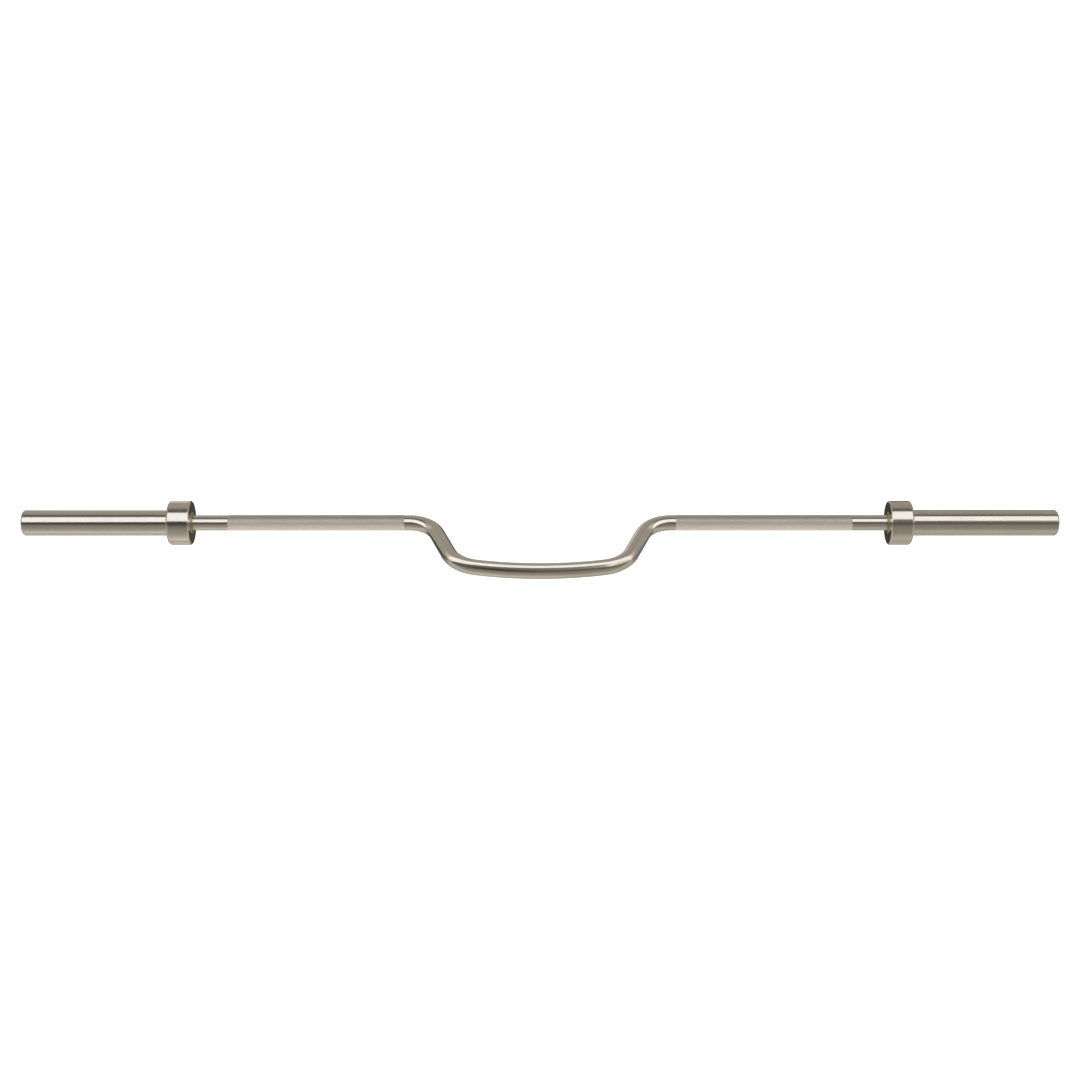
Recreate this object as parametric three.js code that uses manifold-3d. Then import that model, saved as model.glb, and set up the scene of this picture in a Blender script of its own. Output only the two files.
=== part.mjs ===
// Curved seal row bar: a bent steel shaft with a plate sleeve turning on each end.
// Millimetres, +X along the bar, +Z up. The bar lies on the floor on its two collars and the
// bottom of its camber, which points towards -Y. The origin is under the middle of the whole bar.
import * as THREE from "three";
import { mergeVertices } from "three/addons/utils/BufferGeometryUtils.js";
import Module from "manifold-3d";

// Overall: the whole bar, the stretch of each sleeve that takes plates, and the hand grip
const BAR_LENGTH = 2012;
const LOADABLE_LENGTH = 285;
const GRIP_DIAMETER = 30;

// Camber, measured along the centreline of the shaft in the plane of the bend
const CAMBER_DEPTH = 160;
const BOTTOM_RADIUS = 630;
const BOTTOM_HALF_ANGLE = THREE.MathUtils.degToRad(11);
const LOWER_BEND_RADIUS = 72;
const LEG_ANGLE = THREE.MathUtils.degToRad(69);
const UPPER_BEND_RADIUS = 60;

// Knurled grips, between a short smooth stretch after the bend and the neck beside the collar
const BEND_TO_KNURL = 9.5;
const NECK_LENGTH = 71;
const KNURL_HEIGHT = 0.35;

// Sleeve tube
const SLEEVE_DIAMETER = 50;
const SLEEVE_CHAMFER = 3;
const SLEEVE_CORE_BORE = 32;
const BUSHING_SEAT_DIAMETER = 36;

// Collar
const COLLAR_DIAMETER = 86;
const COLLAR_WIDTH = 43.5;
const COLLAR_BACK_CHAMFER = 3;
const COLLAR_FACE_CHAMFER = 2;
const COLLAR_LIP = 6;
const ROOT_FILLET = 4;
const ROOT_TOE = 0.6;

// Journal and what runs on it
const JOURNAL_DIAMETER = 26;
const JOURNAL_CHAMFER = 1.5;
const TIP_LENGTH = 10.4;
const TIP_TO_CAP = 18;
const INNER_BUSHING_LENGTH = 45;
const BUSHING_FLANGE_DIAMETER = 41;
const BUSHING_FLANGE_THICKNESS = 1;
const OUTER_BUSHING_LENGTH = 28;
const INNER_WASHER_DIAMETER = 30;
const INNER_WASHER_THICKNESS = 1;
const OUTER_WASHER_DIAMETER = 34;
const OUTER_WASHER_THICKNESS = 1.5;
const WAVE_WASHER_DIAMETER = 33;
const WAVE_WASHER_THICKNESS = 0.6;
const WAVE_HEIGHT = 0.7;
const WAVE_COUNT = 3;

// Circlip that keeps the sleeve on the shaft
const SHAFT_RING_THICKNESS = 1.2;
const SHAFT_RING_DEPTH = 1.2;
const SHAFT_RING_RADIAL = 3.2;

// End cap, its rubber ring and its circlip
const CAP_SEAT_DIAMETER = 38;
const CAP_THICKNESS = 8;
const CAP_RECESS = 4;
const CAP_CHAMFER = 0.8;
const CAP_DISH_DIAMETER = 24;
const CAP_DISH_DEPTH = 1;
const SEAL_SECTION = 2;
const CAP_RING_THICKNESS = 1.5;
const CAP_RING_DEPTH = 1.4;
const CAP_RING_RADIAL = 3.4;

// Circlip ears
const EAR_RADIUS = 2.3;
const EAR_HOLE_DIAMETER = 1.8;
const EAR_HALF_ANGLE = THREE.MathUtils.degToRad(13);

// Clearances
const RUNNING_CLEARANCE = 0.1;
const SEAT_GAP = 0.2;
const GROOVE_PLAY = 0.3;

// How finely round forms are divided
const CAMBER_SIDES = 28;
const CAMBER_STEPS = 68;
const TURNED_SIDES = 36;
const COLLAR_SIDES = 48;
const SMALL_SIDES = 24;
const SEAL_SIDES = 6;
const FILLET_STEPS = 4;
const RING_STEPS = 14;
const EAR_STEPS = 6;

// Radii worked out from the diameters
const gripRadius = GRIP_DIAMETER / 2;
const knurlRadius = gripRadius + KNURL_HEIGHT;
const journalRadius = JOURNAL_DIAMETER / 2;
const sleeveRadius = SLEEVE_DIAMETER / 2;
const collarRadius = COLLAR_DIAMETER / 2;
const seatRadius = BUSHING_SEAT_DIAMETER / 2;
const capSeatRadius = CAP_SEAT_DIAMETER / 2;
const runningRadius = journalRadius + RUNNING_CLEARANCE;
const washerBore = runningRadius + SEAT_GAP;

// Places along the bar, counted outwards from its middle
const sleeveEnd = BAR_LENGTH / 2;
const collarBack = sleeveEnd - LOADABLE_LENGTH;
const collarFace = collarBack - COLLAR_WIDTH;
const sleeveStart = collarFace + COLLAR_LIP + SEAT_GAP;
const knurlEnd = collarFace - NECK_LENGTH;
const innerFlangeBack = collarFace - SEAT_GAP;
const innerFlangeFront = innerFlangeBack - BUSHING_FLANGE_THICKNESS;
const innerWasherFront = innerFlangeFront - SEAT_GAP - INNER_WASHER_THICKNESS;
const shoulder = innerWasherFront - SEAT_GAP;
const innerBushingEnd = collarFace + INNER_BUSHING_LENGTH;
const innerSeatEnd = innerBushingEnd + SEAT_GAP;
const capRingStart = sleeveEnd - CAP_RECESS;
const capFront = capRingStart - SEAT_GAP;
const capBack = capFront - CAP_THICKNESS;
const capSeat = capBack - SEAT_GAP;
const journalEnd = capBack - TIP_TO_CAP;
const shaftRingStart = journalEnd - TIP_LENGTH;
const waveWasherStart = shaftRingStart - SEAT_GAP - WAVE_HEIGHT - WAVE_WASHER_THICKNESS;
const outerWasherStart = waveWasherStart - SEAT_GAP - OUTER_WASHER_THICKNESS;
const outerBushingEnd = outerWasherStart - SEAT_GAP;
const outerBushingStart = outerBushingEnd - OUTER_BUSHING_LENGTH;
const outerSeatStart = outerBushingStart - SEAT_GAP;

// The camber tips down until its underside is level with the bottom of the collars
const tilt = Math.asin((collarRadius - gripRadius) / CAMBER_DEPTH);
const camberReach = CAMBER_DEPTH * Math.cos(tilt) + gripRadius;
const axisHeight = collarRadius;
const axisOffset = (camberReach - collarRadius) / 2;

// The camber's bends and straights, from its lowest point out to the straight grips
const legDrop = CAMBER_DEPTH - BOTTOM_RADIUS * (1 - Math.cos(BOTTOM_HALF_ANGLE))
  - LOWER_BEND_RADIUS * (Math.cos(BOTTOM_HALF_ANGLE) - Math.cos(LEG_ANGLE))
  - UPPER_BEND_RADIUS * (1 - Math.cos(LEG_ANGLE));
const camberTurns = [
  { radius: BOTTOM_RADIUS, from: 0, to: BOTTOM_HALF_ANGLE },
  { radius: LOWER_BEND_RADIUS, from: BOTTOM_HALF_ANGLE, to: LEG_ANGLE },
  { straight: legDrop / Math.sin(LEG_ANGLE), from: LEG_ANGLE },
  { radius: UPPER_BEND_RADIUS, from: LEG_ANGLE, to: 0 },
];
for (const turn of camberTurns) {
  turn.length = turn.straight ?? turn.radius * Math.abs(turn.to - turn.from);
}
const camberLength = camberTurns.reduce((sum, turn) => sum + turn.length, 0);
const knurlStart = camberPlace(camberLength).along + BEND_TO_KNURL;

// Place along the bar and rise above the camber's lowest point, at a length from the middle. Past
// the camber the centreline runs straight on.
function camberPlace(length) {
  let along = 0;
  let rise = 0;
  let left = length;
  for (const { radius, from, to, length: whole } of camberTurns) {
    const part = Math.min(left, whole);
    if (radius) {
      const sense = Math.sign(to - from);
      const angle = from + (sense * part) / radius;
      along += sense * radius * (Math.sin(angle) - Math.sin(from));
      rise += sense * radius * (Math.cos(from) - Math.cos(angle));
    } else {
      along += part * Math.cos(from);
      rise += part * Math.sin(from);
    }
    left -= part;
  }
  return { along: along + left, rise };
}

const wasm = await Module();
wasm.setup();

// A closed geometry as a solid, its shared corners merged
function solidOf(geometry) {
  const bare = geometry.clone();
  bare.deleteAttribute("normal");
  bare.deleteAttribute("uv");
  const merged = mergeVertices(bare);
  return new wasm.Manifold(new wasm.Mesh({
    numProp: merged.attributes.position.itemSize,
    vertProperties: merged.attributes.position.array,
    triVerts: new Uint32Array(merged.index.array),
  }));
}

// A solid back as a flat-shaded geometry
function geometryOf(solid) {
  const { vertProperties, triVerts, numProp } = solid.getMesh();
  const geometry = new THREE.BufferGeometry();
  geometry.setAttribute("position", new THREE.BufferAttribute(vertProperties, numProp));
  geometry.setIndex(new THREE.BufferAttribute(triVerts, 1));
  const flat = geometry.toNonIndexed();
  flat.computeVertexNormals();
  return flat;
}

// A turned form about the bar's axis, from [place along the bar, radius] corners. A solid one
// starts and ends on the axis, and its outside runs outwards along the bar.
function turned(corners, sides) {
  const profile = corners.map(([along, radius]) => new THREE.Vector2(radius, along));
  return new THREE.LatheGeometry(profile, sides, Math.PI / sides).rotateZ(-Math.PI / 2);
}

// A turned ring, whose outline runs out along its bore and back along its outside
function turnedRing(corners, sides) {
  return turned([...corners, corners[0]].reverse(), sides);
}

// A plain washer or bush between two places along the bar
function washer(start, end, innerRadius, outerRadius, sides) {
  const corners = [[start, innerRadius], [end, innerRadius], [end, outerRadius], [start, outerRadius]];
  return turnedRing(corners, sides);
}

// Points of a circular arc as [place along the bar, radius] corners
function arcCorners(centre, radius, from, to, steps) {
  return Array.from({ length: steps + 1 }, (_, step) => {
    const angle = from + ((to - from) * step) / steps;
    return [centre[0] + radius * Math.cos(angle), centre[1] + radius * Math.sin(angle)];
  });
}

// The centreline of the cambered middle, which runs on into the grips at both ends. The camber's
// plane holds the bar's axis and leans down from -Y by the tilt.
class CamberLine extends THREE.Curve {
  getPoint(share, target = new THREE.Vector3()) {
    const length = (2 * share - 1) * (camberLength + BEND_TO_KNURL + gripRadius);
    const { along, rise } = camberPlace(Math.abs(length));
    const drop = CAMBER_DEPTH - rise;
    return target.set(Math.sign(length) * along, -drop * Math.cos(tilt), -drop * Math.sin(tilt));
  }
}

// Straight end of the shaft, from the start of the grip to the tip: knurled grip, smooth neck,
// shoulder, journal and the groove of the retaining ring
function shaftEnd() {
  const grooveRadius = journalRadius - SHAFT_RING_DEPTH;
  const grooveStart = shaftRingStart - GROOVE_PLAY / 2;
  const grooveEnd = shaftRingStart + SHAFT_RING_THICKNESS + GROOVE_PLAY / 2;
  return turned([
    [knurlStart, 0],
    [knurlStart, knurlRadius],
    [knurlEnd - KNURL_HEIGHT, knurlRadius],
    [knurlEnd, gripRadius],
    [shoulder, gripRadius],
    [shoulder, journalRadius],
    [grooveStart, journalRadius],
    [grooveStart, grooveRadius],
    [grooveEnd, grooveRadius],
    [grooveEnd, journalRadius],
    [journalEnd - JOURNAL_CHAMFER, journalRadius],
    [journalEnd, journalRadius - JOURNAL_CHAMFER],
    [journalEnd, 0],
  ], TURNED_SIDES);
}

// The whole shaft: its two straight ends joined to the bent middle, which runs on into the grips
function shaft() {
  const section = new THREE.Shape(Array.from({ length: CAMBER_SIDES }, (_, side) => {
    const angle = (2 * Math.PI * side) / CAMBER_SIDES;
    return new THREE.Vector2(gripRadius * Math.cos(angle), gripRadius * Math.sin(angle));
  }));
  const bent = { steps: CAMBER_STEPS, extrudePath: new CamberLine() };
  const middle = new THREE.ExtrudeGeometry(section, bent);
  const right = shaftEnd();
  const left = shaftEnd().rotateZ(Math.PI);
  return geometryOf(solidOf(middle).add(solidOf(right)).add(solidOf(left)));
}

// Sleeve tube: chamfered ends, a bushing seat in each end, the end cap's seat and the groove of
// the end cap's circlip
function sleeveTube() {
  const outer = sleeveRadius;
  const core = SLEEVE_CORE_BORE / 2;
  const grooveRadius = capSeatRadius + CAP_RING_DEPTH;
  const grooveStart = capRingStart - GROOVE_PLAY / 2;
  const grooveEnd = capRingStart + CAP_RING_THICKNESS + GROOVE_PLAY / 2;
  const mouthChamfer = CAP_RING_DEPTH / 2;
  return turnedRing([
    [sleeveStart, seatRadius],
    [innerSeatEnd, seatRadius],
    [innerSeatEnd, core],
    [outerSeatStart, core],
    [outerSeatStart, seatRadius],
    [capSeat, seatRadius],
    [capSeat, capSeatRadius],
    [grooveStart, capSeatRadius],
    [grooveStart, grooveRadius],
    [grooveEnd, grooveRadius],
    [grooveEnd, capSeatRadius],
    [sleeveEnd - mouthChamfer, capSeatRadius],
    [sleeveEnd, capSeatRadius + mouthChamfer],
    [sleeveEnd, outer - SLEEVE_CHAMFER],
    [sleeveEnd - SLEEVE_CHAMFER, outer],
    [sleeveStart, outer],
  ], TURNED_SIDES);
}

// Collar: a ring with a lip over the sleeve's inner end, chamfered rims and a rounded root
function collar() {
  const bore = sleeveRadius + SEAT_GAP;
  const toe = bore + ROOT_TOE;
  const root = arcCorners(
    [collarBack + ROOT_FILLET, toe + ROOT_FILLET], ROOT_FILLET, 1.5 * Math.PI, Math.PI, FILLET_STEPS);
  return turnedRing([
    [collarFace, seatRadius],
    [collarFace + COLLAR_LIP, seatRadius],
    [collarFace + COLLAR_LIP, bore],
    [collarBack + ROOT_FILLET, bore],
    ...root,
    [collarBack, collarRadius - COLLAR_BACK_CHAMFER],
    [collarBack - COLLAR_BACK_CHAMFER, collarRadius],
    [collarFace + COLLAR_FACE_CHAMFER, collarRadius],
    [collarFace, collarRadius - COLLAR_FACE_CHAMFER],
  ], COLLAR_SIDES);
}

// Bronze bush in the collar and the sleeve, with a flange against the collar's inner face
function innerBushing() {
  const body = seatRadius - SEAT_GAP;
  const flange = BUSHING_FLANGE_DIAMETER / 2;
  const rim = BUSHING_FLANGE_THICKNESS / 3;
  return turnedRing([
    [innerFlangeFront, runningRadius],
    [innerBushingEnd, runningRadius],
    [innerBushingEnd, body],
    [innerFlangeBack, body],
    [innerFlangeBack, flange],
    [innerFlangeFront + rim, flange],
    [innerFlangeFront, flange - rim],
  ], TURNED_SIDES);
}

// Plain bronze bush near the shaft's tip
function outerBushing() {
  const body = seatRadius - SEAT_GAP;
  return washer(outerBushingStart, outerBushingEnd, runningRadius, body, TURNED_SIDES);
}

// Steel washer between the shaft's shoulder and the bushing flange
function innerThrustWasher() {
  const end = innerWasherFront + INNER_WASHER_THICKNESS;
  return washer(innerWasherFront, end, washerBore, INNER_WASHER_DIAMETER / 2, SMALL_SIDES);
}

// Steel washer outboard of the outer bushing
function outerThrustWasher() {
  const end = outerWasherStart + OUTER_WASHER_THICKNESS;
  return washer(outerWasherStart, end, washerBore, OUTER_WASHER_DIAMETER / 2, SMALL_SIDES);
}

// Spring washer: a thin ring whose faces rise and fall together
function waveWasher() {
  const end = waveWasherStart + WAVE_WASHER_THICKNESS;
  const ring = washer(waveWasherStart, end, washerBore, WAVE_WASHER_DIAMETER / 2, SMALL_SIDES);
  const places = ring.attributes.position;
  for (let i = 0; i < places.count; i += 1) {
    const angle = Math.atan2(places.getZ(i), places.getY(i));
    const lift = (WAVE_HEIGHT * (1 + Math.cos(WAVE_COUNT * angle))) / 2;
    places.setX(i, places.getX(i) + lift);
  }
  ring.computeVertexNormals();
  return ring;
}

// A disc on the flat, as thick as given, for the ears of a circlip and their holes
function disc(centre, radius, bottom, thickness) {
  const form = new THREE.CylinderGeometry(radius, radius, thickness, 2 * EAR_STEPS);
  return solidOf(form.rotateX(Math.PI / 2).translate(centre.x, centre.y, bottom + thickness / 2));
}

// Open circlip with an eared gap, lying across the bar. The ears stand out on a shaft's circlip
// and in on a bore's.
function circlip(start, thickness, innerRadius, outerRadius, earsOut) {
  const earPlace = earsOut ? outerRadius : innerRadius;
  const gapEnds = [EAR_HALF_ANGLE, 2 * Math.PI - EAR_HALF_ANGLE];
  const outline = new THREE.Shape();
  outline.absarc(0, 0, outerRadius, gapEnds[0], gapEnds[1]);
  outline.absarc(0, 0, innerRadius, gapEnds[1], gapEnds[0], true);
  const flat = { depth: thickness, bevelEnabled: false, curveSegments: RING_STEPS };
  let clip = solidOf(new THREE.ExtrudeGeometry(outline, flat));
  for (const angle of gapEnds) {
    const centre = new THREE.Vector2(earPlace * Math.cos(angle), earPlace * Math.sin(angle));
    clip = clip.add(disc(centre, EAR_RADIUS, 0, thickness));
    clip = clip.subtract(disc(centre, EAR_HOLE_DIAMETER / 2, -thickness, 3 * thickness));
  }
  return geometryOf(clip).rotateY(Math.PI / 2).translate(start, 0, 0);
}

// Circlip in the groove near the shaft's tip
function shaftRetainingRing() {
  const inner = journalRadius - SHAFT_RING_DEPTH + SEAT_GAP;
  return circlip(shaftRingStart, SHAFT_RING_THICKNESS, inner, inner + SHAFT_RING_RADIAL, true);
}

// Circlip in the groove at the sleeve's mouth
function capRetainingRing() {
  const outer = capSeatRadius + CAP_RING_DEPTH - SEAT_GAP;
  return circlip(capRingStart, CAP_RING_THICKNESS, outer - CAP_RING_RADIAL, outer, false);
}

// Disc that closes the sleeve, with a groove round its rim for the rubber ring and a dished face
function endCap() {
  const rim = capSeatRadius - SEAT_GAP;
  const middle = (capFront + capBack) / 2;
  const groove = rim - SEAL_SECTION;
  const halfGroove = SEAL_SECTION / 2 + SEAT_GAP;
  const dish = CAP_DISH_DIAMETER / 2;
  return turned([
    [capBack, 0],
    [capBack, rim - CAP_CHAMFER],
    [capBack + CAP_CHAMFER, rim],
    [middle - halfGroove, rim],
    [middle - halfGroove, groove],
    [middle + halfGroove, groove],
    [middle + halfGroove, rim],
    [capFront - CAP_CHAMFER, rim],
    [capFront, rim - CAP_CHAMFER],
    [capFront, dish],
    [capFront - CAP_DISH_DEPTH, dish - CAP_DISH_DEPTH],
    [capFront - CAP_DISH_DEPTH, 0],
  ], SMALL_SIDES);
}

// Rubber ring in the end cap's groove
function capSeal() {
  const radius = SEAL_SECTION / 2 - SEAT_GAP / 2;
  const centre = capSeatRadius - SEAT_GAP - SEAL_SECTION / 2;
  const corners = arcCorners([(capFront + capBack) / 2, centre], radius, 0, 2 * Math.PI, SEAL_SIDES);
  return turnedRing(corners.slice(0, -1), SMALL_SIDES);
}

// Materials
const steel = (color, roughness) => new THREE.MeshStandardMaterial({ color, roughness, metalness: 1 });
const chrome = steel(0xb9b2a6, 0.16);
const satin = steel(0xb0a99c, 0.38);
const spring = steel(0x6f6a62, 0.45);
const bronze = steel(0xa8894f, 0.35);
const rubber = new THREE.MeshStandardMaterial({ color: 0x17171a, roughness: 0.85, metalness: 0 });

function piece(name, geometry, material) {
  const mesh = new THREE.Mesh(geometry, material.clone());
  mesh.name = name;
  return mesh;
}

// What sits on one end of the shaft
function sleeveAssembly(side) {
  const end = new THREE.Group();
  end.add(
    piece(side + "_sleeve_tube", sleeveTube(), chrome),
    piece(side + "_collar", collar(), chrome),
    piece(side + "_inner_bushing", innerBushing(), bronze),
    piece(side + "_outer_bushing", outerBushing(), bronze),
    piece(side + "_inner_thrust_washer", innerThrustWasher(), satin),
    piece(side + "_outer_thrust_washer", outerThrustWasher(), satin),
    piece(side + "_wave_washer", waveWasher(), spring),
    piece(side + "_shaft_retaining_ring", shaftRetainingRing(), spring),
    piece(side + "_end_cap", endCap(), chrome),
    piece(side + "_end_cap_seal", capSeal(), rubber),
    piece(side + "_end_cap_retaining_ring", capRetainingRing(), spring),
  );
  return end;
}

const bar = new THREE.Group();
bar.add(piece("shaft", shaft(), chrome));
const rightEnd = sleeveAssembly("right");
const leftEnd = sleeveAssembly("left");
leftEnd.rotation.z = Math.PI;
bar.add(rightEnd, leftEnd);
bar.position.set(0, axisOffset, axisHeight);

const model = new THREE.Group();
model.add(bar);

export default model;
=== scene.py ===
"""Curved seal row bar: a bent steel shaft with a plate sleeve turning on each end.

The file is laid out as an add-on and run as a script. It builds finely turned and bent pieces
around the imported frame, in the frame's own metres, and sets them in a plain studio.
"""
import math

import bmesh
import bpy
from bpy.props import FloatProperty, FloatVectorProperty, IntProperty, PointerProperty
from mathutils import Matrix, Vector


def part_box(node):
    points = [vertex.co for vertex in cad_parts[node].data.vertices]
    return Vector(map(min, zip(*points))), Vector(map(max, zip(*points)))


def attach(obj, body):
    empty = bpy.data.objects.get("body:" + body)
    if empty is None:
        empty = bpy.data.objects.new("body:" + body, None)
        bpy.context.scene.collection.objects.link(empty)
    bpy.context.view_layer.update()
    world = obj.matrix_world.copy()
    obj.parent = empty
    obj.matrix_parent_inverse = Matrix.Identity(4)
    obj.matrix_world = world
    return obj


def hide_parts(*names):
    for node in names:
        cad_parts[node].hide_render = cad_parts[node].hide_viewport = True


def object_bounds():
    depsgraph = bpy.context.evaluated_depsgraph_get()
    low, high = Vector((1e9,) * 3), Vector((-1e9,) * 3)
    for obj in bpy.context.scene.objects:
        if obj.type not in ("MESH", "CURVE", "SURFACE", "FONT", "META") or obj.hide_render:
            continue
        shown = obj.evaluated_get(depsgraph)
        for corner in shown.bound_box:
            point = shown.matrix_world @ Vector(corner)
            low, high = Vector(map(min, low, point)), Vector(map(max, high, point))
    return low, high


bl_info = {
    "name": "Curved seal row bar",
    "version": (1, 0, 0),
    "blender": (4, 5, 0),
    "location": "View3D > Sidebar > Row Bar",
    "description": "Builds a cambered row bar with turning sleeves, and a studio to show it in",
    "category": "Object",
}

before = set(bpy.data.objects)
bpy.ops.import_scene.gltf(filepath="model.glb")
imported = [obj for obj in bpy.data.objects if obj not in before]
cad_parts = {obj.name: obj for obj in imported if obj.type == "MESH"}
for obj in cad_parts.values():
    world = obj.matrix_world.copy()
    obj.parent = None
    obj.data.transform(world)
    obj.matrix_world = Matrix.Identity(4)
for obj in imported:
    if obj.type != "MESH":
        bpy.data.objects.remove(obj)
cad_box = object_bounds()

MM = 0.001
SIDES = ("left", "right")

# The line that both sleeves turn about, from the collars' own boxes
_low, _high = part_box("right_collar")
AXIS = Vector((0, (_low.y + _high.y) / 2, (_low.z + _high.z) / 2))
COLLAR_ACROSS = _high.z - _low.z
BAR_ACROSS = cad_box[1].x - cad_box[0].x


# What a user can change


def length(name, description, millimetres):
    return FloatProperty(
        name=name, description=description, default=millimetres * MM, min=0,
        unit="LENGTH", subtype="DISTANCE", precision=4)


def angle(name, description, degrees):
    return FloatProperty(
        name=name, description=description, default=math.radians(degrees),
        unit="ROTATION", subtype="ANGLE")


def colour(name, description, rgb):
    return FloatVectorProperty(
        name=name, description=description, default=rgb, size=3, min=0, max=1, subtype="COLOR")


def share(name, description, value):
    return FloatProperty(
        name=name, description=description, default=value, min=0, max=1, subtype="FACTOR")


class RowBarShaftSizes(bpy.types.PropertyGroup):
    """Sizes of the bent shaft and its grips."""

    bar_length: length("Bar length", "Whole bar, from end to end", BAR_ACROSS / MM)
    grip_diameter: length("Grip diameter", "Thickness of the shaft", 30)
    camber_depth: length("Camber depth", "How far the middle stands off the sleeves' line", 160)
    bottom_radius: length("Bottom radius", "Radius of the long bend across the middle", 630)
    bottom_angle: angle("Bottom angle", "Half of the turn of the long bend", 11)
    lower_radius: length("Lower bend", "Radius of the bends at the foot of the legs", 72)
    leg_angle: angle("Leg angle", "How steeply the legs leave the sleeves' line", 69)
    upper_radius: length("Upper bend", "Radius of the bends at the top of the legs", 60)
    bend_to_knurl: length("Bend to knurl", "Smooth stretch between a bend and its grip", 9.5)
    neck_length: length("Neck", "Smooth stretch between a grip and its collar", 71)
    journal_diameter: length("Journal", "Thickness of the shaft inside a sleeve", 26)
    knurl_height: length("Knurl height", "How far the teeth stand above the shaft", 0.3)
    knurl_depth: length("Knurl depth", "How far the teeth are cut in below the shaft", 0.1)
    teeth_round: IntProperty(
        name="Teeth round", description="Knurl teeth around the grip", default=60, min=12)
    tooth_length: length("Tooth length", "Length of one knurl tooth along the bar", 2.72)


class RowBarSleeveSizes(bpy.types.PropertyGroup):
    """Sizes of the sleeves and of what turns with them."""

    loadable_length: length("Loadable length", "Stretch of a sleeve that takes plates", 285)
    sleeve_diameter: length("Sleeve diameter", "Thickness of a sleeve", 50)
    sleeve_chamfer: length("Sleeve chamfer", "Chamfer on a sleeve's outer end", 3)
    core_bore: length("Core bore", "Bore of a sleeve between its bushings", 32)
    seat_diameter: length("Bushing seat", "Bore of a sleeve round its bushings", 36)
    collar_diameter: length("Collar diameter", "Outside of a collar", COLLAR_ACROSS / MM)
    collar_width: length("Collar width", "Length of a collar along the bar", 43.5)
    collar_back_chamfer: length("Back chamfer", "Chamfer on a collar's rim beside the plates", 3)
    collar_face_chamfer: length("Face chamfer", "Chamfer on a collar's rim beside the grip", 2)
    collar_lip: length("Collar lip", "Part of a collar inboard of the sleeve tube", 6)
    root_fillet: length("Root fillet", "Rounding where a sleeve meets its collar", 4)
    flange_diameter: length("Bushing flange", "Bronze flange on a collar's inner face", 41)
    flange_thickness: length("Flange thickness", "Thickness of that flange", 1)
    thrust_washer: length("Thrust washer", "Washer between the shaft's shoulder and a flange", 30)
    cap_seat: length("Cap seat", "Bore that holds an end cap", 38)
    cap_thickness: length("Cap thickness", "Thickness of an end cap", 8)
    cap_recess: length("Cap recess", "How deep an end cap's ring sits in the sleeve", 4)


class RowBarFinishes(bpy.types.PropertyGroup):
    """Colours and gloss of the finishes."""

    steel: colour("Polished steel", "Plated steel of shaft, sleeves and collars", (0.72, 0.67, 0.59))
    steel_roughness: share("Steel roughness", "How matt the polished steel is", 0.135)
    knurl_roughness: share("Knurl roughness", "How matt the tops of the knurl teeth are", 0.31)
    knurl_slopes: colour("Knurl slopes", "Matt sides of the knurl teeth", (0.855, 0.805, 0.725))
    satin: colour("Satin steel", "Washers and end caps", (0.56, 0.54, 0.50))
    spring: colour("Spring steel", "Retaining rings and wave washers", (0.20, 0.19, 0.175))
    bronze: colour("Bronze", "Bushings", (0.70, 0.58, 0.35))
    rubber: colour("Rubber", "Seal rings", (0.018, 0.018, 0.020))


class RowBarStudio(bpy.types.PropertyGroup):
    """The floor, the lights and the camera."""

    floor: colour("Floor", "Plain pale floor", (0.86, 0.86, 0.85))
    panel_height: length("Light height", "How high the long soft light's front edge hangs", 210)
    panel_tilt: length("Light tilt", "How much higher its back edge hangs", 125)
    panel_front: length("Light front edge", "How far it reaches towards the camera", 166)
    panel_back: length("Light back edge", "How far it reaches past the middle", 2)
    front_taper: length("Front taper", "How far its front edge turns forward at the left end", 88)
    back_taper: length("Back taper", "How far its back edge turns forward at the left end", 39)
    panel_length: length("Light length", "Length of the soft light along the bar", 3200)
    panel_strength: FloatProperty(
        name="Light strength", description="Brightness of the long soft light", default=1.36, min=0)
    lens: FloatProperty(
        name="Lens", description="Focal length of the camera", default=57.09, unit="CAMERA")
    distance: length("Camera distance", "From the sleeves' line to the camera", 3338)
    elevation: angle("Camera elevation", "How steeply the camera looks down", 24.92)
    framing: length("Framing", "How far the sleeves' line stands above the picture's middle", 33.5)


# Clearances, and sizes of the small pieces inside the sleeves

SEAT_GAP = 0.2 * MM
GROOVE_PLAY = 0.3 * MM
RUNNING_CLEARANCE = 0.1 * MM
INNER_WASHER_THICKNESS = 1 * MM
OUTER_WASHER_THICKNESS = 1.5 * MM
OUTER_WASHER_RADIUS = 17 * MM
WAVE_WASHER_THICKNESS = 0.6 * MM
WAVE_WASHER_HEIGHT = 1.3 * MM
WAVE_WASHER_RADIUS = 16.5 * MM
INNER_BUSHING_LENGTH = 45 * MM
OUTER_BUSHING_LENGTH = 28 * MM
CAP_TO_TIP = 18 * MM
TIP_TO_RING = 10.4 * MM
SHAFT_RING_THICKNESS = 1.2 * MM
SHAFT_GROOVE_DEPTH = 1.2 * MM
CAP_RING_THICKNESS = 1.5 * MM
CAP_GROOVE_DEPTH = 1.4 * MM


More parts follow.
